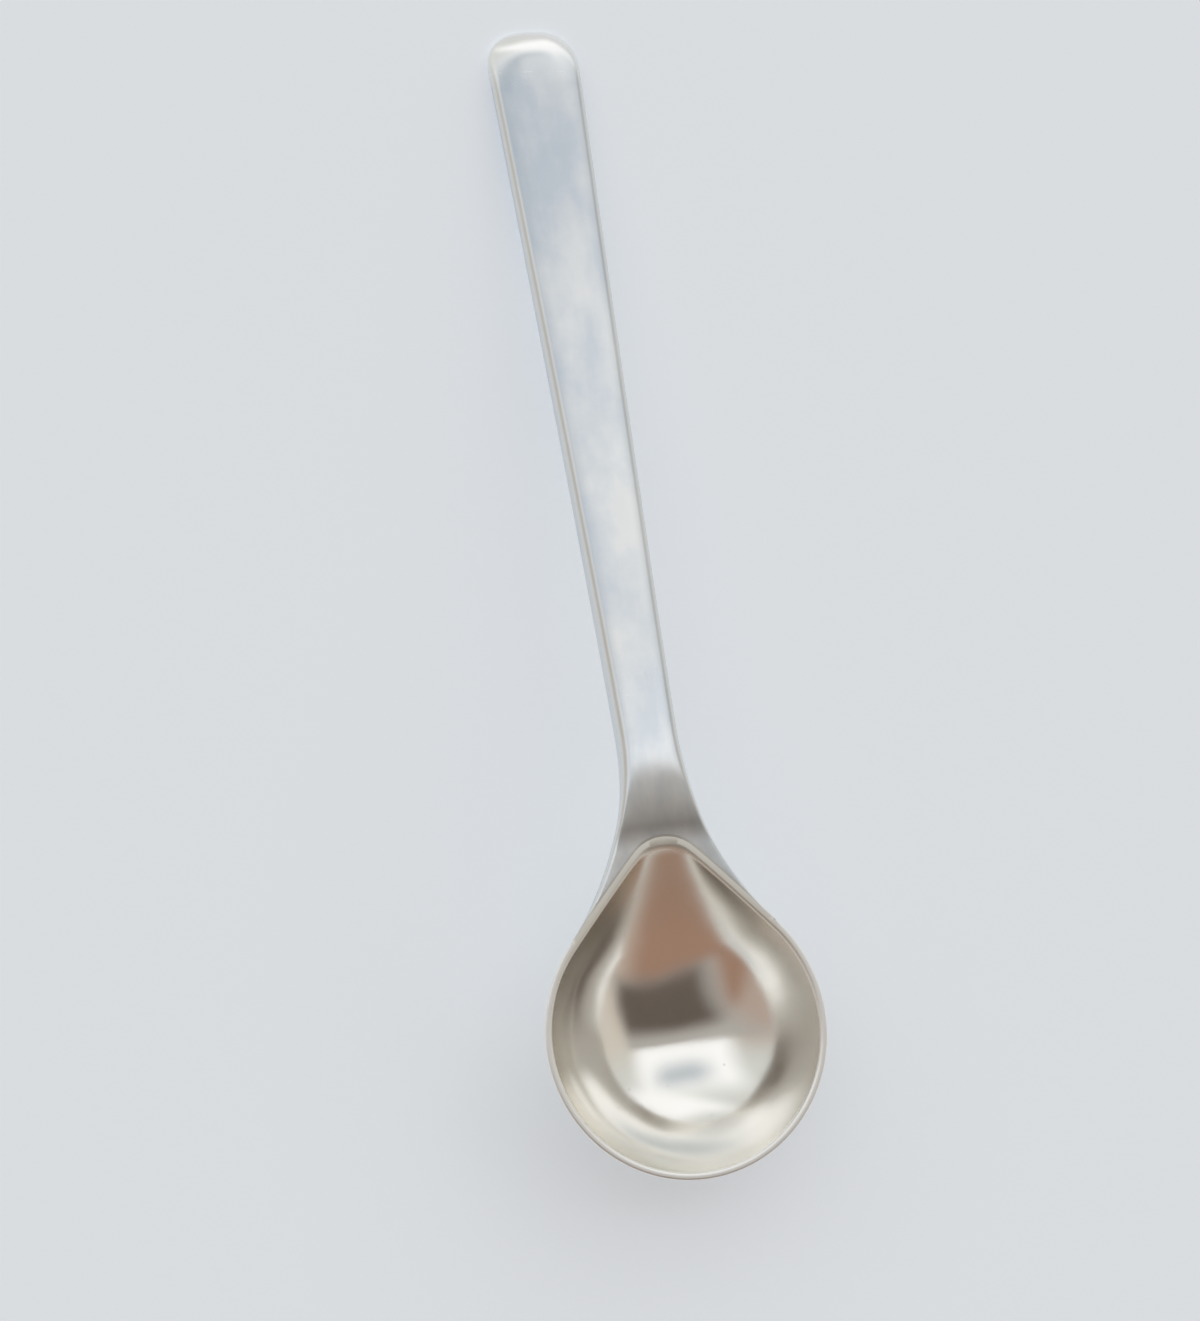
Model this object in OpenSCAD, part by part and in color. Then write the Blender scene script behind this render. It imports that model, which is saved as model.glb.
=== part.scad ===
// Salt spoon: a deep teardrop bowl of sheet silver, hard-soldered into the forked root of a tapered handle.
// Millimetres. The bowl stands on the origin with its rim level, and the handle runs along +Y to the table.

/* [Overall] */
// Length from the bowl's tip to the end of the handle
overall_l = 80; // [66:0.5:98]

/* [Bowl] */
// Half the outside width across the rim
bowl_r = 9.9; // [8:0.1:12]
// Depth inside, from the rim to the deepest point
bowl_depth = 6.9; // [5.5:0.1:8.4]
// Width of the bare edge of the sheet, seen from above
rim_edge = 0.5; // [0.3:0.05:0.8]
// Thickness of the sheet under the deepest point
bowl_floor = 0.8; // [0.5:0.05:1.2]
// Distance from the bowl's centre to the top of the heel arch
heel_reach = 13.2; // [11:0.1:16]
// Radius of the heel arch, outside
heel_r = 2.95; // [2.4:0.05:3.6]
// Height of the centre of the heel's round above the rim: more gives a flatter heel
heel_lift = 1.6; // [1:0.1:2.2]
// Diameter of the planished flat that the bowl stands on
rest_d = 3.6; // [2.5:0.1:4.5]

/* [Handle] */
// Narrowest width, at the neck
neck_w = 4.15; // [3.4:0.05:5]
// Width near the end
end_w = 6.5; // [5.4:0.1:8]
// How late the handle widens: 1 is an even taper
taper_power = 1.25; // [1:0.05:1.6]
// Thickness at the neck
neck_t = 2.2; // [1.8:0.1:2.7]
// Thickness near the end
end_t = 1.3; // [1:0.1:1.6]
// Length of the rounded end, seen from above
nose_l = 2.9; // [2:0.1:4]
// Squareness of the rounded end: 2 is an ellipse
nose_power = 2.5; // [2:0.1:4]
// Length over which the top rolls down at the end
roll_l = 2.2; // [1.5:0.1:3]
// How far the top rolls down there
roll_drop = 0.8; // [0.4:0.05:0.9]
// Rounding of the long top edges
edge_r = 0.4; // [0.2:0.05:0.5]

/* [Root] */
// Radius of the hollow flare from the neck out to the bowl
flare_r = 20.4; // [15:0.1:26]
// Radius of the crest over the neck, in side view
crest_r = 20; // [14:0.5:28]
// Slope of the top where it climbs from the heel arch, in degrees
crest_slope = 12; // [6:1:16]
// How far the root laps under the bowl from the heel arch
root_lap = 3.9; // [3:0.1:5]
// Height of the outer face of the horns
horn_side = 0.45; // [0.3:0.05:0.7]

/* [Joint] */
// Thickness of the solder between the bowl and its seat
solder_t = 0.12; // [0.08:0.01:0.2]

/* [Hidden] */
// Fine enough for the thin solder between two round faces
$fn = 360;
// Room around a body where a cut passes it
clear = 1;
// How far the cone of a bowl face lies inside its balls, so that their outlines cross cleanly
cone_bite = 0.0002;

// Bowl: each face is a large ball, the heel's small ball and the cone that touches both
heel_y = heel_reach - heel_r;
inner_r = bowl_r - rim_edge;
outer_depth = bowl_depth + bowl_floor;
inner_ball = (inner_r^2 + bowl_depth^2) / (2 * bowl_depth);
outer_ball = (bowl_r^2 + outer_depth^2) / (2 * outer_depth);
inner_heel = norm([heel_r - rim_edge, heel_lift]);
outer_heel = norm([heel_r, heel_lift]);
rest_sag = outer_ball - sqrt(outer_ball^2 - rest_d^2 / 4);
rim_z = outer_depth - rest_sag;
inner_z = rim_z + inner_ball - bowl_depth;
outer_z = rim_z + outer_ball - outer_depth;
heel_z = rim_z + heel_lift;

// Straight underside of the bowl, from the large ball up to the heel's
ramp_run = norm([heel_y, outer_z - heel_z]);
ramp_slope = asin((outer_ball - outer_heel) / ramp_run) - atan2(outer_z - heel_z, heel_y);
ramp_end_y = heel_y + outer_heel * sin(ramp_slope);
ramp_end_z = heel_z - outer_heel * cos(ramp_slope);
function ramp_z(y) = ramp_end_z - (ramp_end_y - y) * tan(ramp_slope);

// Handle from above: the flare touches the bowl's circle and ends along the neck
tip_y = overall_l - bowl_r;
nose_y = tip_y - nose_l;
neck_y = sqrt((bowl_r + flare_r)^2 - (neck_w / 2 + flare_r)^2);
touch_y = bowl_r * neck_y / (bowl_r + flare_r);
// The horns start where the flare has left the bowl by a third of the solder
horn_y = touch_y + sqrt(2 * flare_r * solder_t / 3) * (neck_w / 2 + flare_r) / (bowl_r + flare_r);

function flare_w(y) = neck_w / 2 + flare_r - sqrt(flare_r^2 - (neck_y - y)^2);
function taper_w(y) = neck_w / 2 + (end_w - neck_w) / 2 * ((y - neck_y) / (nose_y - neck_y))^taper_power;
function nose_w(y) = end_w / 2 * (1 - ((y - nose_y) / nose_l)^nose_power)^(1 / nose_power);
function half_w(y) = y < neck_y ? flare_w(y) : y < nose_y ? taper_w(y) : nose_w(y);

// Handle from the side: level horns, a crest over the neck, then a straight fall to the table
roll_y = tip_y - roll_l;
stand_y = tip_y - roll_l / 2;
crest_y = heel_reach + crest_r * sin(crest_slope);
crest_z = rim_z - crest_r * cos(crest_slope);
fall_run = norm([stand_y - crest_y, end_t - crest_z]);
fall = asin(crest_r / fall_run) - atan2(end_t - crest_z, stand_y - crest_y);
fall_y = crest_y + crest_r * sin(fall);

function straight_z(y) = end_t + (stand_y - y) * tan(fall);
function roll(y) = y < roll_y ? 0 : 1 - sqrt(1 - ((y - roll_y) / roll_l)^2);
function top_z(y) = y < heel_reach ? rim_z
    : y < fall_y ? crest_z + sqrt(crest_r^2 - (y - crest_y)^2)
    : straight_z(y) - roll_drop * roll(y);

// Underside: it thickens evenly from the end to the neck, then bends down to lap the bowl
thinning = (neck_t - end_t) / (stand_y - neck_y);
neck_under = straight_z(neck_y) - neck_t;
under_slope = tan(fall) - thinning;
lap_y = heel_reach - root_lap;
under_bend = (neck_under + under_slope * (neck_y - lap_y) - ramp_z(lap_y)) / (neck_y - lap_y)^2;

function lap_z(y) = neck_under + under_slope * (neck_y - y) - under_bend * (neck_y - y)^2;
function under_z(y) = y < neck_y ? lap_z(y) : max(0, straight_z(y) - neck_t + thinning * (y - neck_y));

// Cross-section of the handle: flat top, soft edges, upright sides, and an underside that is round at the
// root and square along the bar
edge_steps = 4;
under_steps = 8;
under_power = 4;

function ease(a) = a <= 0 ? 0 : a >= 1 ? 1 : a^2 * (3 - 2 * a);
function bar_share(y) = ease((y - heel_reach) / (neck_y - heel_reach));
function arc_ball(w, sag) = (w^2 + sag^2) / (2 * sag);
function arc_drop(u, w, sag) = 1 - (arc_ball(w, sag) - sqrt(arc_ball(w, sag)^2 - (w * u)^2)) / sag;
function bar_drop(u) = (1 - u^under_power)^(1 / under_power);

function half_section(y) = let (
        w = half_w(y),
        top = top_z(y),
        t = top - under_z(y),
        share = bar_share(y),
        edge = min(edge_r, w / 2, t / 3),
        side = max(edge, horn_side + share * (t / 2 - horn_side)),
        sag = t - side)
    concat(
        [for (i = [0 : edge_steps]) let (a = 90 * i / edge_steps)
            [w - edge + edge * sin(a), top - edge + edge * cos(a)]],
        [for (i = [0 : under_steps]) let (u = cos(90 * i / under_steps))
            [w * u, top - side - sag * ((1 - share) * arc_drop(u, w, min(sag, w)) + share * bar_drop(u))]]);

function section(y) = let (half = half_section(y)) concat(
    [for (p = half) [p[0], y, p[1]]],
    [for (i = [len(half) - 2 : -1 : 0]) [-half[i][0], y, half[i][1]]]);

root_steps = 24;
bar_steps = 14;
nose_steps = 9;
// The last section stops just short of the end, where the width would be nothing
nose_turn = 84;
stations = concat(
    [for (i = [0 : root_steps]) horn_y + (neck_y - horn_y) * i / root_steps],
    [for (i = [1 : bar_steps]) neck_y + (nose_y - neck_y) * i / bar_steps],
    [for (i = [1 : nose_steps]) nose_y + nose_l * sin(nose_turn * i / nose_steps)]);

// Solid of two balls and the cone between them, turned about the line through their centres
module pear(ball, heel, ball_z) {
    run = norm([heel_y, heel_z - ball_z]);
    lean = asin((ball - heel) / run);
    cone_ball = ball - cone_bite;
    cone_heel = heel - cone_bite;
    translate([0, 0, ball_z])
        rotate([atan2(heel_z - ball_z, heel_y) - 90, 0, 0])
            rotate_extrude()
                intersection() {
                    union() {
                        circle(ball);
                        translate([0, run]) circle(heel);
                        polygon([
                            [0, cone_ball * sin(lean)],
                            [cone_ball * cos(lean), cone_ball * sin(lean)],
                            [cone_heel * cos(lean), run + cone_heel * sin(lean)],
                            [0, run + cone_heel * sin(lean)]]);
                    }
                    translate([0, -ball]) square([ball, ball + run + heel]);
                }
}

// Outside of the bowl, and the seat that clears it by the solder
module bowl_outside(grow = 0) {
    pear(outer_ball + grow, outer_heel + grow, outer_z);
}

// Handle before its seat is cut: one skin over the cross-sections, closed at both ends
module handle_blank() {
    rings = [for (y = stations) section(y)];
    n = len(rings[0]);
    last = len(rings) - 1;
    points = [for (ring = rings) each ring];
    sides = [for (i = [0 : last - 1], j = [0 : n - 1]) let (
            a = i * n + j,
            b = i * n + (j + 1) % n)
        each [[a, b, b + n], [a, b + n, a + n]]];
    caps = [[for (j = [n - 1 : -1 : 0]) j], [for (j = [0 : n - 1]) last * n + j]];
    polyhedron(points = points, faces = concat(sides, caps), convexity = 6);
}

module bowl() {
    color([0.86, 0.85, 0.82])
        difference() {
            intersection() {
                bowl_outside();
                translate([-bowl_r - clear, -bowl_r - clear, 0])
                    cube([2 * (bowl_r + clear), bowl_r + heel_reach + 2 * clear, rim_z]);
            }
            pear(inner_ball, inner_heel, inner_z);
        }
}

module handle() {
    color([0.82, 0.84, 0.86])
        difference() {
            handle_blank();
            bowl_outside(solder_t);
        }
}

module solder_seam() {
    color([0.75, 0.75, 0.73])
        difference() {
            intersection() {
                handle_blank();
                bowl_outside(solder_t);
            }
            bowl_outside();
        }
}

bowl();
handle();
solder_seam();
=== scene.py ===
from math import acos, asin, atan2, cos, hypot, pi, radians, sin, sqrt, tan

import bmesh
import bpy
from mathutils import Matrix, Vector


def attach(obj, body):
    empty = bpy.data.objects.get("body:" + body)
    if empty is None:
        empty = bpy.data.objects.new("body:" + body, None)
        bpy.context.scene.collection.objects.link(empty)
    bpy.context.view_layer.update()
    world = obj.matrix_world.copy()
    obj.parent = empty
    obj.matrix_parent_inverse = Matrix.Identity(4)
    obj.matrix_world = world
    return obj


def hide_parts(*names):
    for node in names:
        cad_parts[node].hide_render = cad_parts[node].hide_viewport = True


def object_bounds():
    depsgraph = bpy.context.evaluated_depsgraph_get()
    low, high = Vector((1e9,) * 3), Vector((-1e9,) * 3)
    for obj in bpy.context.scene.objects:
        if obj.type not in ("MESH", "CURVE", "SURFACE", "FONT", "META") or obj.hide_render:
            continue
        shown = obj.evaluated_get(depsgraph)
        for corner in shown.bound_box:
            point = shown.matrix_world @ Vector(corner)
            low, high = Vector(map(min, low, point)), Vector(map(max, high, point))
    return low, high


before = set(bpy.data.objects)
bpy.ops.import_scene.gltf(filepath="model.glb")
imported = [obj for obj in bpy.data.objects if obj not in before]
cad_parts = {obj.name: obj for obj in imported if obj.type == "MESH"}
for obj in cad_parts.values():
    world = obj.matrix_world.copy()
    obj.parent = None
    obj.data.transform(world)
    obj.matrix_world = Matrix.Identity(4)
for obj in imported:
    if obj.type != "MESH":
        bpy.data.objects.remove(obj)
cad_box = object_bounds()

# Bowl
# A deep teardrop cup of sterling silver, raised from sheet over round stakes and planished smooth.
# Its edge was filed level and softened, and a small flat under it lets the spoon stand.

# Sizes in millimetres; each piece is brought to metres when it is finished
metre = 1000
bowl_r = 9.9
bowl_depth = 6.9
rim_edge = 0.5
bowl_floor = 0.8
heel_reach = 13.2
heel_r = 2.95
heel_lift = 1.6
rest_d = 3.6
rest_inset = rest_d / 8
rim_soft = 0.17
rim_steps = 6
# The outer rounding of the rim dies out between these places, where the root begins to embrace the bowl
rim_fade = (4.9, 6.9)
# Trough of the flattened heel: place and height of its upper end, slope there, and radii along and across
trough_y = 12.3
trough_drop = 0.4
trough_slope = tan(radians(38))
trough_long_r = 30
trough_cross_r = 13
trough_blend = 0.8
# Depth below the rim over which the flattening dies out
rim_keep = 0.3

heel_y = heel_reach - heel_r
outer_depth = bowl_depth + bowl_floor
inner_r = bowl_r - rim_edge
inner_ball = (inner_r**2 + bowl_depth**2) / (2 * bowl_depth)
outer_ball = (bowl_r**2 + outer_depth**2) / (2 * outer_depth)
inner_heel = hypot(heel_r - rim_edge, heel_lift)
outer_heel = hypot(heel_r, heel_lift)
rest_sag = outer_ball - sqrt(outer_ball**2 - rest_d**2 / 4)
rim_z = outer_depth - rest_sag
inner_z = rim_z + inner_ball - bowl_depth
outer_z = rim_z + outer_ball - outer_depth
heel_z = rim_z + heel_lift


class BowlFace:
    """One face of the sheet: a large ball, the heel's small ball and the cone that touches both."""

    def __init__(self, ball, ball_z, heel):
        self.ball, self.ball_z, self.heel = ball, ball_z, heel
        self.run = hypot(heel_y, heel_z - ball_z)
        self.tilt = atan2(heel_z - ball_z, heel_y)
        self.lean = asin((ball - heel) / self.run)
        self.ramp = self.lean + self.tilt

    def half_width(self, y, z):
        """Distance from the middle plane to the face at this place and height."""
        along = y * cos(self.tilt) + (z - self.ball_z) * sin(self.tilt)
        off = (z - self.ball_z) * cos(self.tilt) - y * sin(self.tilt)
        if along <= self.ball * sin(self.lean):
            square = self.ball**2 - along**2 - off**2
        elif along >= self.run + self.heel * sin(self.lean):
            square = self.heel**2 - (along - self.run) ** 2 - off**2
        else:
            square = ((self.ball - along * sin(self.lean)) / cos(self.lean)) ** 2 - off**2
        return sqrt(max(square, 0))

    def reach(self, z):
        """Where the middle of the face lies at this height, on the tip's side and on the heel's."""
        ball_reach = sqrt(max(self.ball**2 - (self.ball_z - z) ** 2, 0))
        ramp_low = self.ball_z - self.ball * cos(self.ramp)
        ramp_high = heel_z - self.heel * cos(self.ramp)
        if z <= ramp_low:
            heel_side = ball_reach
        elif z >= ramp_high:
            heel_side = heel_y + sqrt(self.heel**2 - (heel_z - z) ** 2)
        else:
            heel_side = self.ball * sin(self.ramp) + (z - ramp_low) / tan(self.ramp)
        return -ball_reach, heel_side

    def course(self, z, corners):
        """Level ring of points round the face, closest together at the tip and at the heel."""
        tip, heel = self.reach(z)
        half = corners // 2
        rows = [(tip + heel) / 2 - (heel - tip) / 2 * cos(pi * n / half) for n in range(half + 1)]
        right = [Vector((self.half_width(y, z), y, z)) for y in rows]
        right[0].x = right[-1].x = 0
        return right + [Vector((-p.x, p.y, p.z)) for p in right[-2:0:-1]]


def skin(name, rings):
    """Skin over rings of points: a circle is set on the first ring, extruded to the next and set on that."""
    bpy.ops.object.select_all(action="DESELECT")
    bpy.ops.mesh.primitive_circle_add(vertices=len(rings[0]))
    piece = bpy.context.object
    piece.name = piece.data.name = name
    bpy.ops.object.mode_set(mode="EDIT")
    for ring in rings:
        if ring is not rings[0]:
            bpy.ops.mesh.extrude_region_move()
        mesh = bmesh.from_edit_mesh(piece.data)
        for corner, place in zip([v for v in mesh.verts if v.select], ring):
            corner.co = place
    return piece


def to_metres(piece, smooth_angle):
    """Leaves edit mode with the faces turned outwards and the size in metres."""
    bpy.ops.mesh.select_all(action="SELECT")
    bpy.ops.mesh.normals_make_consistent(inside=False)
    bpy.ops.object.mode_set(mode="OBJECT")
    bpy.ops.object.shade_smooth_by_angle(angle=smooth_angle)
    piece.scale = [1 / metre] * 3
    bpy.ops.object.transform_apply(scale=True)


def ease(share):
    """Soft start and stop between 0 and 1."""
    share = min(max(share, 0), 1)
    return share * share * (3 - 2 * share)


def higher(low, high, blend):
    """The larger of two heights, with the corner where they cross rounded over the blend."""
    share = min(max(0.5 + 0.5 * (high - low) / blend, 0), 1)
    return low + (high - low) * share + blend * share * (1 - share)


def flattened(place):
    """Place on the inner face after the heel was flattened into a wide, shallow trough."""
    along = place.y - trough_y
    trough = rim_z - trough_drop + trough_slope * along + along**2 / (2 * trough_long_r)
    trough += place.x**2 / (2 * trough_cross_r)
    raised = higher(place.z, trough, trough_blend) - place.z
    return Vector((place.x, place.y, place.z + raised * ease((rim_z - place.z) / rim_keep)))


inside = BowlFace(inner_ball, inner_z, inner_heel)
outside = BowlFace(outer_ball, outer_z, outer_heel)
bowl_corners = 192
outer_courses = 60
inner_courses = 84
rest_turn = asin(rest_d / 2 / outer_ball)
outer_turn = acos((outer_z - rim_z) / outer_ball)
inner_turn = acos((inner_z - rim_z) / inner_ball)

# The course next to the rim is left out on both faces, which makes room for the rounding of the rim
rings = []
for n in range(outer_courses + 1):
    if n != outer_courses - 1:
        turn = rest_turn + (outer_turn - rest_turn) * n / outer_courses
        rings.append(outside.course(outer_z - outer_ball * cos(turn), bowl_corners))
for n in range(inner_courses):
    if n != 1:
        turn = inner_turn * (1 - n / inner_courses)
        course = inside.course(inner_z - inner_ball * cos(turn), bowl_corners)
        rings.append([flattened(place) for place in course])
bowl = skin("raised_bowl", rings)
# The last ring closes at the deepest point
bpy.ops.mesh.extrude_region_move()
bpy.ops.mesh.merge(type="CENTER")
mesh = bmesh.from_edit_mesh(bowl.data)
for corner in mesh.verts:
    if corner.select:
        corner.co = flattened(Vector((0, 0, inner_z - inner_ball)))
# The first ring closes with the flat that the bowl stands on
bpy.ops.mesh.select_all(action="DESELECT")
mesh = bmesh.from_edit_mesh(bowl.data)
for edge in mesh.edges:
    edge.select_set(edge.is_boundary)
bpy.ops.mesh.edge_face_add()
bpy.ops.mesh.inset(thickness=rest_inset)
# Both edges of the rim are rounded
bpy.ops.mesh.select_mode(type="EDGE")
bpy.ops.mesh.select_all(action="DESELECT")
bpy.ops.mesh.edges_select_sharp(sharpness=radians(30))
mesh = bmesh.from_edit_mesh(bowl.data)
weight = mesh.edges.layers.float.new("bevel_weight_edge")
for edge in mesh.edges:
    if edge.select:
        middle = (edge.verts[0].co + edge.verts[1].co) / 2
        outer_edge = outside.half_width(middle.y, rim_z) - abs(middle.x) < rim_edge / 2
        gone = (middle.y - rim_fade[0]) / (rim_fade[1] - rim_fade[0]) if outer_edge else 0
        edge[weight] = 1 - min(max(gone, 0), 1)
bpy.ops.object.mode_set(mode="OBJECT")
soften = bowl.modifiers.new("soften", "BEVEL")
soften.limit_method = "WEIGHT"
soften.use_clamp_overlap = False
soften.width = rim_soft
soften.segments = rim_steps
bpy.ops.object.modifier_apply(modifier=soften.name)
bpy.ops.object.mode_set(mode="EDIT")
to_metres(bowl, smooth_angle=radians(40))


def linear(code):
    """sRGB hex to linear colour."""
    parts = [int(code[n : n + 2], 16) / 255 for n in (1, 3, 5)]
    return [c / 12.92 if c <= 0.04045 else ((c + 0.055) / 1.055) ** 2.4 for c in parts] + [1]


def add_node(tree, kind, inputs=None, **settings):
    """Adds a shader node with its settings; an input is a value, or another node's output to link."""
    node = tree.nodes.new("ShaderNode" + kind)
    for name, value in settings.items():
        setattr(node, name, value)
    for socket, value in (inputs or {}).items():
        if isinstance(value, bpy.types.NodeSocket):
            tree.links.new(value, node.inputs[socket])
        else:
            node.inputs[socket].default_value = value
    return node


def metal(piece, name):
    """Gives a piece a metal of its own; returns the node tree, the shader and the place on the piece."""
    material = bpy.data.materials.new(name)
    material.use_nodes = True
    piece.data.materials.clear()
    piece.data.materials.append(material)
    shader = material.node_tree.nodes["Principled BSDF"]
    shader.inputs["Metallic"].default_value = 1
    place = add_node(material.node_tree, "TexCoord").outputs["Object"]
    return material.node_tree, shader, place


def below_rim(depth):
    """Height, in metres, of a place this many millimetres below the rim."""
    return (rim_z - depth) / metre


# Polished inside close to a mirror, which shows the room with a cream cast, in the slight waves that the
# hammer left, under a thin haze of use with a few pits; the bare rim is a satin, and the outside a rougher
# one, greyer by painted shade where it looks down
sheet_tones = ("#F6F4EE", "#FEFDFA")
pit_tone = "#B7AFA2"
# Beige of the heel's film, partly a painted warm reflection
film_and_painted_reflection_tone = "#ECE8DF"
tip_rim_tone = "#FEFDFA"
heel_rim_tone = "#F6F4EC"
# Painted shade for the outside where faces look down, standing in for the floor's shadow mirrored there
painted_underside_shade_tone = "#CECCC7"
# Finishes of the hollow by depth below the rim: where each starts and where it is full
rim_satin = (0.22, 0.1)
wall_haze = (4.5, 0.5)
film_and_reflection_depth = (4.6, 1.0)
# The film and its painted warm reflection also grow from here to there along the spoon
film_and_reflection_y = (2, 8)
# The wall's roughness comes on top of the haze's
wall_rough = 0.1
# A rougher film showed its border as a dotted line after denoising
film_rough = 0.265
rim_rough = 0.42
outside_rough = 0.22
# Sizes and depths of the patterns
haze_size = 2.4
cast_size = 4
pit_spacing = 1.3
hammer_size = 3.5
hammer_depth = 0.03
grain_size = 0.35
grain_depth = 0.0012

tree, shader, place = metal(bowl, "sterling_silver_raised_and_polished")
axes = add_node(tree, "SeparateXYZ", {0: place})
height = axes.outputs["Z"]
rim_wear = add_node(tree, "MapRange", {
    "Value": height, "From Min": below_rim(rim_satin[0]), "From Max": below_rim(rim_satin[1])}).outputs[0]
haze = add_node(tree, "TexNoise", {
    "Vector": place, "Scale": metre / haze_size, "Detail": 5.0, "Roughness": 0.6}).outputs["Fac"]
hollow_rough = add_node(tree, "MapRange", {
    "Value": haze, "From Min": 0.3, "From Max": 0.7, "To Min": 0.10, "To Max": 0.16}).outputs[0]
wall = add_node(tree, "MapRange", {
    "Value": height, "From Min": below_rim(wall_haze[0]), "From Max": below_rim(wall_haze[1])}).outputs[0]
hollow_rough = add_node(tree, "Math", {
    0: wall, 1: wall_rough, 2: hollow_rough}, operation="MULTIPLY_ADD").outputs[0]
# The polisher reaches least into the narrow heel, which keeps a rougher film; its beige colour is partly a
# painted warm reflection of the heel's ramp.
# A Mix node takes its share in socket 0, its two numbers in 2 and 3, and its two colours in 6 and 7
near_heel = add_node(tree, "MapRange", {
    "Value": axes.outputs["Y"], "From Min": film_and_reflection_y[0] / metre, "From Max": film_and_reflection_y[1] / metre},
    interpolation_type="SMOOTHSTEP").outputs[0]
high = add_node(tree, "MapRange", {
    "Value": height, "From Min": below_rim(film_and_reflection_depth[0]), "From Max": below_rim(film_and_reflection_depth[1])},
    interpolation_type="SMOOTHSTEP").outputs[0]
film_and_reflection_share = add_node(tree, "Math", {0: near_heel, 1: high}, operation="MULTIPLY").outputs[0]
hollow_rough = add_node(tree, "Mix", {0: film_and_reflection_share, 2: hollow_rough, 3: film_rough}, data_type="FLOAT").outputs[0]
rough = add_node(tree, "Mix", {0: rim_wear, 2: hollow_rough, 3: rim_rough}, data_type="FLOAT").outputs[0]
# Outside, where faces look down, it is wiped and not polished, so rougher; there its colour is also darkened,
# a painted shade for the floor's mirrored shadow
facing = add_node(tree, "NewGeometry").outputs["Normal"]
facing = add_node(tree, "SeparateXYZ", {0: facing})
outer = add_node(tree, "MapRange", {
    "Value": facing.outputs["Z"], "From Min": -0.02, "From Max": -0.2, "To Max": 0.85}).outputs[0]
rough = add_node(tree, "Mix", {0: outer, 2: rough, 3: outside_rough}, data_type="FLOAT").outputs[0]
tree.links.new(rough, shader.inputs["Roughness"])
cast = add_node(tree, "TexNoise", {
    "Vector": place, "Scale": metre / cast_size, "Detail": 3.0}).outputs["Fac"]
sheet = add_node(tree, "Mix", {
    0: cast, 6: linear(sheet_tones[0]), 7: linear(sheet_tones[1])}, data_type="RGBA").outputs[2]
pit = add_node(tree, "TexVoronoi", {"Vector": place, "Scale": metre / pit_spacing}).outputs["Distance"]
pit = add_node(tree, "MapRange", {
    "Value": pit, "From Min": 0.03, "From Max": 0.09, "To Min": 0.5, "To Max": 0.0}).outputs[0]
pit_zone = add_node(tree, "MapRange", {"Value": cast, "From Min": 0.45, "From Max": 0.6}).outputs[0]
pit = add_node(tree, "Math", {0: pit, 1: pit_zone}, operation="MULTIPLY").outputs[0]
pitted = add_node(tree, "Mix", {0: pit, 6: sheet, 7: linear(pit_tone)}, data_type="RGBA").outputs[2]
# The film's beige, partly a painted warm reflection, and a slightly beige bare rim towards the heel
film_and_reflection_tinted = add_node(tree, "Mix", {0: film_and_reflection_share, 6: pitted, 7: linear(film_and_painted_reflection_tone)}, data_type="RGBA").outputs[2]
bare_rim = add_node(tree, "Mix", {
    0: film_and_reflection_share, 6: linear(tip_rim_tone), 7: linear(heel_rim_tone)}, data_type="RGBA").outputs[2]
colour = add_node(tree, "Mix", {0: rim_wear, 6: film_and_reflection_tinted, 7: bare_rim}, data_type="RGBA").outputs[2]
# Painted shade: where faces look down the colour goes darker
colour = add_node(tree, "Mix", {0: outer, 6: colour, 7: linear(painted_underside_shade_tone)}, data_type="RGBA").outputs[2]
tree.links.new(colour, shader.inputs["Base Color"])
waves = add_node(tree, "TexNoise", {
    "Vector": place, "Scale": metre / hammer_size, "Detail": 1.0}).outputs["Fac"]
hammered = add_node(tree, "Bump", {
    "Height": waves, "Strength": 1.0, "Distance": hammer_depth / metre}).outputs[0]
# Grain of the polished sheet, drawn coarser than it is so that it shows
grain = add_node(tree, "TexNoise", {
    "Vector": place, "Scale": metre / grain_size, "Detail": 2.0}).outputs["Fac"]
polished = add_node(tree, "Bump", {
    "Height": grain, "Strength": 1.0, "Distance": grain_depth / metre, "Normal": hammered}).outputs[0]
tree.links.new(polished, shader.inputs["Normal"])

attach(bowl, "root")
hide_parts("bowl")

# Handle
# A forged bar of sterling silver with a flat top, hammered wider towards its rounded end.
# Its root was forked and filed to a seat for the bowl's heel, which it laps underneath.

overall_l = 80
neck_w = 4.15
end_w = 6.5
taper_power = 1.25
neck_t = 2.2
end_t = 1.3
nose_l = 2.9
nose_power = 2.5
# Distance from the end to the place where the handle meets the table
stand_back = 1.1
# The top rolls down round the end over this length, by this much, starting this far before the nose
roll_l = 2.0
roll_drop = 0.70
roll_start = nose_l / 2
# Rounding of the top edge along the bar and at the tips of the horns, and of the edge underneath
edge_r = 0.55
horn_edge = 0.2
under_r = 0.5
# Most of the thickness that the top edge may take, and least fall of its side against the slope of the top
edge_share = 0.45
edge_fall = 1.3
flare_r = 20.4
crest_r = 20
crest_slope = radians(12)
# Softness of the bend where the top leaves the rim, and how far the crest lies below the CAD's
crest_blend = 0.14
crest_room = 0.005
root_lap = 3.9
# The horns start this far beyond the touching point and reach their full side height over this run
horn_start = 0.3
horn_rise = 3
horn_side = 0.45
solder_t = 0.12
crown = 0.2
crown_power = 4
# The end stays inside the CAD model's box by this much
end_room = 0.01

tip_y = min(overall_l - bowl_r, cad_box[1][1] * metre - end_room)
nose_y = tip_y - nose_l
neck_y = sqrt((bowl_r + flare_r) ** 2 - (neck_w / 2 + flare_r) ** 2)
touch_y = bowl_r * neck_y / (bowl_r + flare_r)
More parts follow.
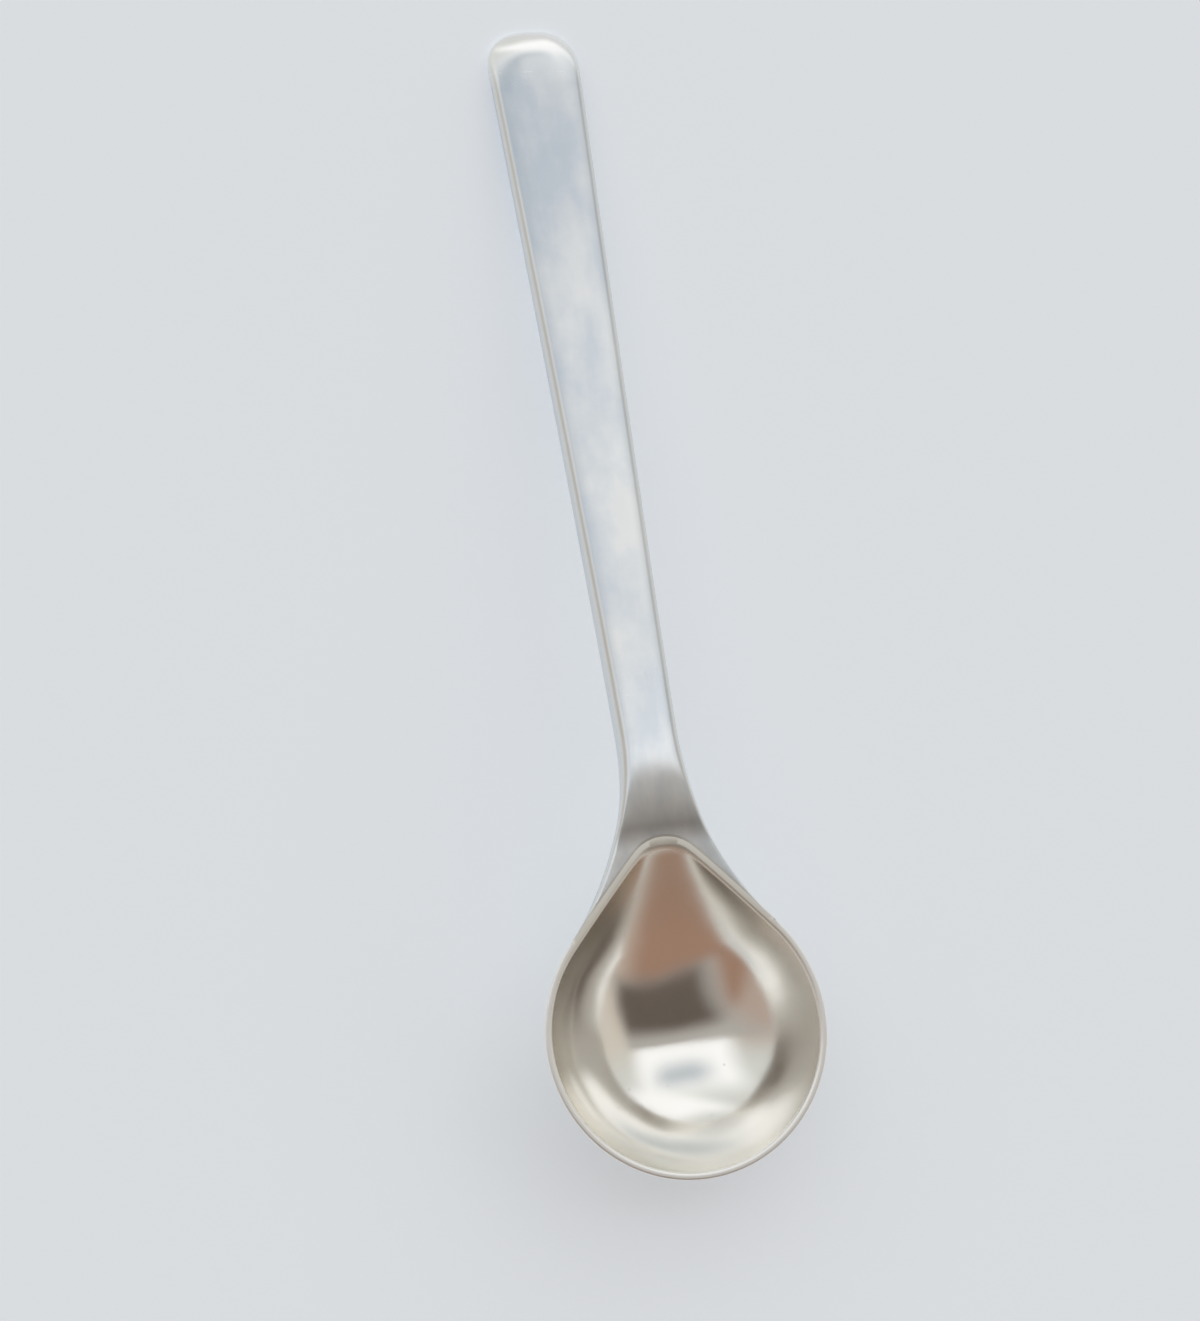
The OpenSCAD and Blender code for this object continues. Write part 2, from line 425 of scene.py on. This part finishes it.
# The horns run out to nothing along the rim, just short of where the flare touches the bowl's circle
horn_y = touch_y + horn_start
stand_y = tip_y - stand_back
crest_y = heel_reach + crest_r * sin(crest_slope)
crest_z = rim_z - crest_r * cos(crest_slope)
fall_run = hypot(stand_y - crest_y, end_t - crest_z)
fall = asin(crest_r / fall_run) - atan2(end_t - crest_z, stand_y - crest_y)
fall_y = crest_y + crest_r * sin(fall)
thinning = (neck_t - end_t) / (stand_y - neck_y)
lap_y = heel_reach - root_lap
ramp_end_y = heel_y + outer_heel * sin(outside.ramp)
ramp_end_z = heel_z - outer_heel * cos(outside.ramp)
lap_z = ramp_end_z - (ramp_end_y - lap_y) * tan(outside.ramp)


def half_w(y):
    """Half the width from above: a hollow flare, a slow taper and a rounded end."""
    if y < neck_y:
        return neck_w / 2 + flare_r - sqrt(flare_r**2 - (neck_y - y) ** 2)
    if y < nose_y:
        return neck_w / 2 + (end_w - neck_w) / 2 * ((y - neck_y) / (nose_y - neck_y)) ** taper_power
    return end_w / 2 * max(1 - ((y - nose_y) / nose_l) ** nose_power, 0) ** (1 / nose_power)


def straight_z(y):
    """Height of the straight top, which falls to the table."""
    return end_t + (stand_y - y) * tan(fall)


def soft_ease(share):
    """Softer start and stop between 0 and 1, which leaves no kink in a reflection."""
    share = min(max(share, 0), 1)
    return share**3 * (10 - 15 * share + 6 * share**2)


def top_z(x, y):
    """Height of the top: level horns, a crest over the neck, a slight crown, and a roll round the end."""
    if y < fall_y:
        middle = higher(rim_z, crest_z - crest_room + sqrt(crest_r**2 - (y - crest_y) ** 2), crest_blend)
    else:
        middle = straight_z(y)
    width = half_w(min(y, nose_y))
    swell = crown * soft_ease((y - heel_reach) / (neck_y - heel_reach))
    beyond = max(y - nose_y, 0) / nose_l
    spread = ((x / width) ** nose_power + beyond**nose_power) ** (1 / nose_power)
    near = max(1 - (1 - spread) * nose_l / roll_l, 0)
    roll = roll_drop * near**2 * soft_ease((y - nose_y + roll_start) / (nose_l + roll_start))
    return middle - swell * (x / width) ** crown_power - roll


def under_z(y):
    """Height of the underside: it thickens towards the neck, then bends down to lap the bowl."""
    neck_under = straight_z(neck_y) - neck_t
    if y > neck_y:
        return max(0, straight_z(y) - neck_t + thinning * (y - neck_y))
    lap = neck_y - lap_y
    slope = tan(fall) - thinning
    bend = (neck_under + slope * lap - lap_z) / lap**2
    return neck_under + slope * (neck_y - y) - bend * (neck_y - y) ** 2


edge_steps = 10
rung_steps = 6
under_steps = 24
# Short way over which a slope is measured
probe = 0.01


def section(x, y, outward):
    """Right half of a cross-section at one point of the outline, from the middle of the top downwards."""
    bar_share = ease((y - heel_reach) / (neck_y - heel_reach))
    round_r = horn_edge + (edge_r - horn_edge) * soft_ease((y - horn_y) / (neck_y - horn_y))
    inner = Vector((x, y)) - round_r * outward
    inner.x = max(inner.x, 0)
    rungs = [inner.x * n / rung_steps for n in range(rung_steps)]
    points = [Vector((rung, inner.y, top_z(rung, inner.y))) for rung in rungs]
    top = top_z(inner.x, inner.y)
    thick = top - under_z(inner.y)
    slope = (top - top_z(inner.x + probe * outward.x, inner.y + probe * outward.y)) / probe
    edge = max(min(round_r, edge_share * thick), edge_fall * round_r * slope)
    horn = horn_side * soft_ease((y - horn_y) / horn_rise)
    side = max(edge, horn + bar_share * (thick / 2 - horn_side))
    sag = thick - side
    # The top edge is an arc from the slope of the top to the upright side
    for n in range(edge_steps + 1):
        turn = n / edge_steps
        start, bend, stop = (1 - turn) ** 2, sqrt(2) * turn * (1 - turn), turn**2
        place = inner + round_r * (bend + stop) / (start + bend + stop) * outward
        drop = (round_r * slope * bend + edge * stop) / (start + bend + stop)
        points.append(Vector((place.x, place.y, top - drop)))
    # The underside is round at the root and square with soft edges along the bar
    arc_sag = min(sag, x) if x else sag
    arc = (x**2 + arc_sag**2) / (2 * arc_sag)
    for n in range(under_steps + 1):
        turn = pi / 2 * n / under_steps
        round_x = x * cos(turn)
        round_drop = sag * (1 - (arc - sqrt(max(arc**2 - round_x**2, 0))) / arc_sag)
        corner = Vector((x, y)) - under_r * (1 - cos(turn)) * outward
        corner.x = max(corner.x, 0)
        place = Vector((round_x, y)).lerp(corner, bar_share)
        drop = round_drop + (sag * sin(turn) - round_drop) * bar_share
        points.append(Vector((place.x, place.y, top - side - drop)))
    last = points[-1]
    for n in range(1, rung_steps + 1):
        points.append(Vector((last.x * (1 - n / rung_steps), last.y, last.z)))
    return points


def whole(half):
    """Closed ring of a right half and its mirror image, which share the first and the last point."""
    return half + [Vector((-p.x, p.y, p.z)) for p in half[-2:0:-1]]


# Points of the outline from the horns to the end, each with its outward direction
root_steps = 72
bar_steps = 56
nose_steps = 30
outline = []
for n in range(root_steps):
    y = horn_y + (neck_y - horn_y) * n / root_steps
    outline.append((Vector((half_w(y), y)), Vector((1, 0))))
for n in range(bar_steps):
    y = neck_y + (nose_y - neck_y) * n / bar_steps
    slope = (half_w(y + probe) - half_w(y)) / probe
    outline.append((Vector((half_w(y), y)), Vector((1, -slope)).normalized()))
for n in range(nose_steps + 1):
    turn = pi / 2 * n / nose_steps
    x = end_w / 2 * max(cos(turn), 0) ** (2 / nose_power)
    y = nose_y + nose_l * sin(turn) ** (2 / nose_power)
    outward = Vector((
        (x / (end_w / 2)) ** (nose_power - 1) / (end_w / 2),
        ((y - nose_y) / nose_l) ** (nose_power - 1) / nose_l))
    outline.append((Vector((x, y)), outward.normalized()))

# Points closer than this are one
weld = 0.0005
handle = skin("forged_handle", [whole(section(point.x, point.y, outward)) for point, outward in outline])
bpy.ops.mesh.select_all(action="SELECT")
bpy.ops.mesh.remove_doubles(threshold=weld)
bpy.ops.mesh.select_all(action="DESELECT")
mesh = bmesh.from_edit_mesh(handle.data)
for edge in mesh.edges:
    edge.select_set(edge.is_boundary)
bpy.ops.mesh.edge_face_add()
bpy.ops.mesh.select_all(action="SELECT")
bpy.ops.mesh.normals_make_consistent(inside=False)
bpy.ops.object.mode_set(mode="OBJECT")

tip_steps = 14
lean_steps = 42
heel_steps = 28
stake_turns = 240


def stake(name, face, grow):
    """Closed solid of a bowl face, spun about the line through its two balls, larger all over by grow."""
    axis = Vector((0, cos(face.tilt), sin(face.tilt)))
    ball = face.ball + grow
    heel = face.heel + grow
    centre = Vector((0, 0, face.ball_z))
    bpy.ops.object.select_all(action="DESELECT")
    bpy.ops.mesh.primitive_plane_add(size=1, location=centre - ball * axis)
    piece = bpy.context.object
    piece.name = piece.data.name = name
    bpy.ops.object.transform_apply(location=True)
    bpy.ops.object.mode_set(mode="EDIT")
    bpy.ops.mesh.select_mode(type="VERT")
    bpy.ops.mesh.select_all(action="SELECT")
    bpy.ops.mesh.merge(type="CENTER")
    bpy.ops.mesh.spin(steps=tip_steps, angle=pi / 2, center=centre, axis=(-1, 0, 0))
    bpy.ops.mesh.spin(steps=lean_steps, angle=face.lean, center=centre, axis=(-1, 0, 0))
    lean_out = Vector((0, sin(face.tilt + face.lean), -cos(face.tilt + face.lean)))
    ramp = face.run * axis + (heel - ball) * lean_out
    bpy.ops.mesh.extrude_region_move(TRANSFORM_OT_translate={"value": ramp})
    heel_centre = centre + face.run * axis
    bpy.ops.mesh.spin(steps=heel_steps, angle=pi / 2 - face.lean, center=heel_centre, axis=(-1, 0, 0))
    bpy.ops.mesh.select_all(action="SELECT")
    bpy.ops.mesh.spin(steps=stake_turns, angle=2 * pi, center=centre, axis=axis)
    bpy.ops.mesh.select_all(action="SELECT")
    bpy.ops.mesh.remove_doubles(threshold=weld)
    bpy.ops.mesh.normals_make_consistent(inside=False)
    bpy.ops.object.mode_set(mode="OBJECT")
    return piece


def cut(piece, tool, operation):
    """Boolean of a piece with a tool, applied."""
    bpy.ops.object.select_all(action="DESELECT")
    piece.select_set(True)
    bpy.context.view_layer.objects.active = piece
    boolean = piece.modifiers.new("cut", "BOOLEAN")
    boolean.operation = operation
    boolean.solver = "EXACT"
    boolean.object = tool
    bpy.ops.object.modifier_apply(modifier=boolean.name)


# The seam is cut from a copy of the whole bar, before the seat is taken out of the handle
seat = stake("seat", outside, solder_t)
heel_skin = stake("heel_skin", outside, 0)
seam = handle.copy()
seam.data = handle.data.copy()
seam.name = seam.data.name = "soldered_seam"
bpy.context.collection.objects.link(seam)
cut(handle, seat, "DIFFERENCE")
bpy.ops.object.mode_set(mode="EDIT")
to_metres(handle, smooth_angle=radians(35))

# Forged and polished, then long in use: the polish has gone to a satin haze of fine scratches in soft clouds,
# whose cool grey is a painted reflection; painted shade greys the margins and darkens the end, and painted
# highlights brighten the end, which is rubbed smoother, and the nick
# Clouds that vary at random, in a cool grey that is a painted reflection
cloud_tones_with_painted_cool_reflection = ("#E0E6EC", "#F9FAFA")
# Painted shade for the end of the handle
painted_end_shade_tone = "#ECEEF1"
painted_margin_shade_tone = "#B0BAC4"
# Painted highlight for the rounded long edges
painted_edge_highlight_tone = "#E6E7E5"
# Painted highlight for the rubbed end and the nick
painted_highlight_tone = "#FCFCFA"
# Widths, lengths and depths of the patterns, and what they add to the roughness
cloud_w = 3
cloud_l = 8
mottle_size = 1.3
mottle_share = 0.2
scratch_w = 0.14
scratch_l = 5
scratch_rough = 0.06
scratch_depth = 0.0008
edge_rough = 0.28
forged_size = 4
forged_depth = 0.05
# Places along the handle between which something changes: the painted shade of the end, the rubbed neck and
# the rubbed nose, which also takes a painted highlight
end_shade_y = (44, 64)
neck_rub_y = (17, 26)
nose_rub_y = (66, 69)
neck_rub = 0.5
nose_rub = 0.4
# One nick runs across near the end: its place, its slant, and its depth in depths of a scratch
nick_y = 67.0
nick_slant = 0.05
nick_depth = 4.0

tree, shader, place = metal(handle, "sterling_silver_forged_and_worn_satin")
axes = add_node(tree, "SeparateXYZ", {0: place})
drawn_out = add_node(tree, "VectorMath", {
    0: place, 1: (metre / cloud_w, metre / cloud_l, metre / cloud_w)}, operation="MULTIPLY").outputs[0]
clouds = add_node(tree, "TexNoise", {
    "Vector": drawn_out, "Scale": 1.0, "Detail": 3.0, "Roughness": 0.5}).outputs["Fac"]
mottle = add_node(tree, "TexNoise", {
    "Vector": place, "Scale": metre / mottle_size, "Detail": 5.0, "Roughness": 0.65}).outputs["Fac"]
haze = add_node(tree, "Mix", {0: mottle_share, 2: clouds, 3: mottle}, data_type="FLOAT").outputs[0]
# Fine scratches along the handle, drawn about ten times as coarse as they are so that they show
stretched = add_node(tree, "VectorMath", {
    0: place, 1: (metre / scratch_w, metre / scratch_l, metre / scratch_w)}, operation="MULTIPLY").outputs[0]
scratches = add_node(tree, "TexNoise", {"Vector": stretched, "Scale": 1.0, "Detail": 2.0}).outputs["Fac"]
# Margins and edges are told by how far a face turns sideways, and edges only where it doesn't look down
facing = add_node(tree, "NewGeometry").outputs["Normal"]
facing = add_node(tree, "SeparateXYZ", {0: facing})
sideways = add_node(tree, "Math", {0: facing.outputs["X"]}, operation="ABSOLUTE").outputs[0]
# Painted shade: faces turned a little sideways are greyed along the margins
painted_margin_shade = add_node(tree, "MapRange", {
    "Value": sideways, "From Min": 0.06, "From Max": 0.25, "To Max": 0.45}).outputs[0]
long_edge = add_node(tree, "MapRange", {"Value": sideways, "From Min": 0.38, "From Max": 0.5}).outputs[0]
long_edge = add_node(tree, "MapRange", {
    "Value": facing.outputs["Z"], "From Min": -0.2, "From Max": 0.2, "To Max": long_edge}).outputs[0]
# Painted shade: the colour darkens towards the end
end_shade_share = add_node(tree, "MapRange", {
    "Value": axes.outputs["Y"], "From Min": end_shade_y[0] / metre, "From Max": end_shade_y[1] / metre},
    interpolation_type="SMOOTHSTEP").outputs[0]
satin = add_node(tree, "MapRange", {
    "Value": haze, "From Min": 0.36, "From Max": 0.64, "To Min": 0.26, "To Max": 0.32}).outputs[0]
# The neck and the rounded end are rubbed smoother than the flat between them
neck = add_node(tree, "MapRange", {
    "Value": axes.outputs["Y"], "From Min": neck_rub_y[0] / metre, "From Max": neck_rub_y[1] / metre,
    "To Min": neck_rub, "To Max": 1.0}).outputs[0]
nose = add_node(tree, "MapRange", {
    "Value": axes.outputs["Y"], "From Min": nose_rub_y[0] / metre, "From Max": nose_rub_y[1] / metre,
    "To Min": 1.0, "To Max": nose_rub}).outputs[0]
rubbed = add_node(tree, "Math", {0: neck, 1: nose}, operation="MULTIPLY").outputs[0]
satin = add_node(tree, "Math", {0: satin, 1: rubbed}, operation="MULTIPLY").outputs[0]
satin = add_node(tree, "Math", {
    0: scratches, 1: scratch_rough, 2: satin}, operation="MULTIPLY_ADD").outputs[0]
rough = add_node(tree, "Mix", {0: long_edge, 2: satin, 3: edge_rough}, data_type="FLOAT").outputs[0]
tree.links.new(rough, shader.inputs["Roughness"])
body = add_node(tree, "MapRange", {"Value": haze, "From Min": 0.38, "From Max": 0.62}).outputs[0]
# Satin clouds at random, tinted a cool grey as a painted reflection
body = add_node(tree, "Mix", {
    0: body, 6: linear(cloud_tones_with_painted_cool_reflection[0]), 7: linear(cloud_tones_with_painted_cool_reflection[1])}, data_type="RGBA").outputs[2]
painted_end_shade = add_node(tree, "Mix", {
    0: end_shade_share, 6: (1, 1, 1, 1), 7: linear(painted_end_shade_tone)}, data_type="RGBA").outputs[2]
body = add_node(tree, "Mix", {
    0: 1.0, 6: body, 7: painted_end_shade}, data_type="RGBA", blend_type="MULTIPLY").outputs[2]
# The nick shows where the mottle lets it, so that it is a broken line
nick = add_node(tree, "Math", {
    0: axes.outputs["X"], 1: nick_slant, 2: -nick_y / metre}, operation="MULTIPLY_ADD").outputs[0]
nick = add_node(tree, "Math", {0: nick, 1: axes.outputs["Y"]}, operation="ADD").outputs[0]
nick = add_node(tree, "Math", {0: nick}, operation="ABSOLUTE").outputs[0]
nick = add_node(tree, "MapRange", {
    "Value": nick, "From Min": 0.02 / metre, "From Max": 0.07 / metre,
    "To Min": 0.8, "To Max": 0.0}).outputs[0]
broken = add_node(tree, "MapRange", {"Value": mottle, "From Min": 0.48, "From Max": 0.58}).outputs[0]
nick = add_node(tree, "Math", {0: nick, 1: broken}, operation="MULTIPLY").outputs[0]
# Painted shade along the margins
body = add_node(tree, "Mix", {0: painted_margin_shade, 6: body, 7: linear(painted_margin_shade_tone)}, data_type="RGBA").outputs[2]
# Painted highlight: the rounded edges are lighter than the margins beside them
body = add_node(tree, "Mix", {0: long_edge, 6: body, 7: linear(painted_edge_highlight_tone)}, data_type="RGBA").outputs[2]
# Painted highlight on the rubbed end and along the nick
painted_nose_and_nick_highlight = add_node(tree, "MapRange", {"Value": nose, "From Min": 1.0, "From Max": nose_rub}).outputs[0]
painted_nose_and_nick_highlight = add_node(tree, "Math", {0: painted_nose_and_nick_highlight, 1: nick}, operation="MAXIMUM").outputs[0]
body = add_node(tree, "Mix", {0: painted_nose_and_nick_highlight, 6: body, 7: linear(painted_highlight_tone)}, data_type="RGBA").outputs[2]
tree.links.new(body, shader.inputs["Base Color"])
waves = add_node(tree, "TexNoise", {
    "Vector": place, "Scale": metre / forged_size, "Detail": 1.0}).outputs["Fac"]
forged = add_node(tree, "Bump", {
    "Height": waves, "Strength": 1.0, "Distance": forged_depth / metre}).outputs[0]
marks = add_node(tree, "Math", {0: nick, 1: -nick_depth, 2: scratches}, operation="MULTIPLY_ADD").outputs[0]
scored = add_node(tree, "Bump", {
    "Height": marks, "Strength": 1.0, "Distance": scratch_depth / metre, "Normal": forged}).outputs[0]
tree.links.new(scored, shader.inputs["Normal"])

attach(handle, "root")
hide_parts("handle")

# Solder seam
# Hard silver solder, run in as a thin even layer between the bowl's heel and the seat in the root.
# It was filed flush and polished with the rest, and shows as a fine line, a little greyer.

cut(seam, seat, "INTERSECT")
cut(seam, heel_skin, "DIFFERENCE")
bpy.ops.object.mode_set(mode="EDIT")
to_metres(seam, smooth_angle=radians(35))
for tool in (seat, heel_skin):
    bpy.data.meshes.remove(tool.data)

# Filed flush and polished: a little greyer than the sterling, and never quite as smooth
solder_tones = ("#C8C6C0", "#D8D6D0")
flow_size = 0.8
file_size = 0.2
file_depth = 0.002

tree, shader, place = metal(seam, "hard_silver_solder_filed_flush")
flow = add_node(tree, "TexNoise", {
    "Vector": place, "Scale": metre / flow_size, "Detail": 4.0}).outputs["Fac"]
alloy = add_node(tree, "Mix", {
    0: flow, 6: linear(solder_tones[0]), 7: linear(solder_tones[1])}, data_type="RGBA").outputs[2]
tree.links.new(alloy, shader.inputs["Base Color"])
rough = add_node(tree, "MapRange", {"Value": flow, "To Min": 0.3, "To Max": 0.42}).outputs[0]
tree.links.new(rough, shader.inputs["Roughness"])
grain = add_node(tree, "TexNoise", {
    "Vector": place, "Scale": metre / file_size, "Detail": 2.0}).outputs["Fac"]
filed = add_node(tree, "Bump", {
    "Height": grain, "Strength": 1.0, "Distance": file_depth / metre}).outputs[0]
tree.links.new(filed, shader.inputs["Normal"])

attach(seam, "root")
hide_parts("solder_seam")

# Studio
# A pale paper floor in a plain room: a wide softbox above the handle, a dim camera side, and warm walls
# beyond the bowl. The camera stands where the photograph was taken from.

# The floor is measured in metres
floor_size = 3
paper_tone = "#E0E4E8"
paper_glow = "#959A9F"
bpy.ops.object.select_all(action="DESELECT")
bpy.ops.mesh.primitive_plane_add(size=floor_size)
floor = bpy.context.object
floor.name = "floor"

# Matt paper, lit a little from within where it is seen or mirrored, so that it stays as pale as the backdrop
paper = bpy.data.materials.new("pale_paper")
paper.use_nodes = True
tree = paper.node_tree
tree.nodes.clear()
matt = add_node(tree, "BsdfDiffuse", {"Color": linear(paper_tone)})
path = add_node(tree, "LightPath").outputs
seen = add_node(tree, "Math", {0: path["Is Camera Ray"], 1: path["Is Glossy Ray"]}, operation="MAXIMUM")
seen = add_node(tree, "Math", {0: seen.outputs[0], 1: path["Is Transmission Ray"]}, operation="MAXIMUM")
pale = add_node(tree, "Emission", {"Color": linear(paper_glow), "Strength": seen.outputs[0]})
both = add_node(tree, "AddShader", {0: matt.outputs[0], 1: pale.outputs[0]})
add_node(tree, "OutputMaterial", {"Surface": both.outputs[0]})
floor.data.materials.append(paper)

warm_wall = "#9C7D6B"
pale_wall = "#CDCCC7"
backdrop_tone = "#D4D5D5"
# Soft patches of the room, each a colour and its edges: direction of an edge across and along the spoon, its
# place in that direction, and half its softness
patches = (
    ("#CFC8BD", ((1, 0, 0.62, 0.25),)),
    ("#B1A095", ((-1, 0, 0.72, 0.16),)),
    ("#D2D4D0", ((0, 1, 0.25, 0.30),)),
    ("#FFFFFF", ((1, 0, -0.62, 0.14), (-1, 0, -0.60, 0.14), (0, 1, 0.09, 0.10), (0, -1, -0.72, 0.14))),
    ("#B4BCC2", ((1, 0, -0.30, 0.22), (-1, 0, -0.38, 0.22), (0, 1, 0.39, 0.15), (0, -1, -0.62, 0.14))),
    ("#FFFFFF", ((0.3, 0.95, 0.74, 0.07), (0, -1, -0.92, 0.05))),
    ("#AEAAA5", (
        (0.82, 0.57, -0.70, 0.14), (-1, 0, -0.68, 0.08), (0, -1, -0.13, 0.06), (-0.2, 1, -0.78, 0.05))),
    ("#625952", (
        (0.82, 0.57, -0.58, 0.14), (-1, 0, -0.66, 0.07), (0, -1, 0.18, 0.20), (-0.2, 1, -0.78, 0.05))),
)

world = bpy.data.worlds.new("studio")
bpy.context.scene.world = world
world.use_nodes = True
tree = world.node_tree
tree.nodes.clear()
around = add_node(tree, "TexCoord").outputs["Generated"]
axes = add_node(tree, "SeparateXYZ", {0: around})
walls = add_node(tree, "MapRange", {
    "Value": axes.outputs["Y"], "From Min": -0.5, "From Max": 0.3}, interpolation_type="SMOOTHSTEP")
walls = add_node(tree, "Mix", {
    0: walls.outputs[0], 6: linear(warm_wall), 7: linear(pale_wall)}, data_type="RGBA")
colour = walls.outputs[2]
for tone, edges in patches:
    mask = 1.0
    for across, along, edge_place, soft in edges:
        reach = add_node(tree, "VectorMath", {0: around, 1: (across, along, 0)}, operation="DOT_PRODUCT")
        reach = add_node(tree, "MapRange", {
            "Value": reach.outputs["Value"], "From Min": edge_place - soft, "From Max": edge_place + soft,
            "To Max": mask}, interpolation_type="SMOOTHSTEP")
        mask = reach.outputs[0]
    mixed = add_node(tree, "Mix", {0: mask, 6: colour, 7: linear(tone)}, data_type="RGBA")
    colour = mixed.outputs[2]
# The floor runs on into a pale backdrop, low all round
low = add_node(tree, "MapRange", {
    "Value": axes.outputs["Z"], "From Min": 0.10, "From Max": 0.30, "To Min": 1.0, "To Max": 0.0},
    interpolation_type="SMOOTHSTEP")
backdrop = add_node(tree, "Mix", {
    0: low.outputs[0], 6: colour, 7: linear(backdrop_tone)}, data_type="RGBA")
background = add_node(tree, "Background", {"Color": backdrop.outputs[2], "Strength": 1.0})
add_node(tree, "OutputWorld", {"Surface": background.outputs[0]})
# The polished hollow mirrors itself many times over
bpy.context.scene.cycles.glossy_bounces = 10

# Camera: turned across and along the spoon and rolled, with its distance and the point it aims at in metres,
# and where that point and the focal length fall in the pixels of the picture
view_yaw = radians(17.0)
view_pitch = radians(5.3)
view_roll = radians(-7.33)
view_distance = 0.380
aim = Vector((0, 0.025, 0))
image_w, image_h = 1200, 1321
aim_px = (608.5, 676.6)
focal_px = 5550

away = Vector((-sin(view_yaw) * cos(view_pitch), -sin(view_pitch), cos(view_yaw) * cos(view_pitch)))
up = (Vector((0, 1, 0)) - away * away.y).normalized()
right = up.cross(away)
rolled_right = cos(view_roll) * right + sin(view_roll) * up
rolled_up = cos(view_roll) * up - sin(view_roll) * right
camera_data = bpy.data.cameras.new("camera")
camera = bpy.data.objects.new("camera", camera_data)
bpy.context.collection.objects.link(camera)
turn = Matrix((rolled_right, rolled_up, away)).transposed()
camera.matrix_world = Matrix.Translation(aim + away * view_distance) @ turn.to_4x4()
camera_data.sensor_fit = "VERTICAL"
camera_data.sensor_height = 24
camera_data.lens = focal_px * camera_data.sensor_height / image_h
camera_data.shift_x = (image_w / 2 - aim_px[0]) / image_h
camera_data.shift_y = (aim_px[1] - image_h / 2) / image_h
bpy.context.scene.camera = camera
bpy.context.scene.view_settings.view_transform = "Standard"
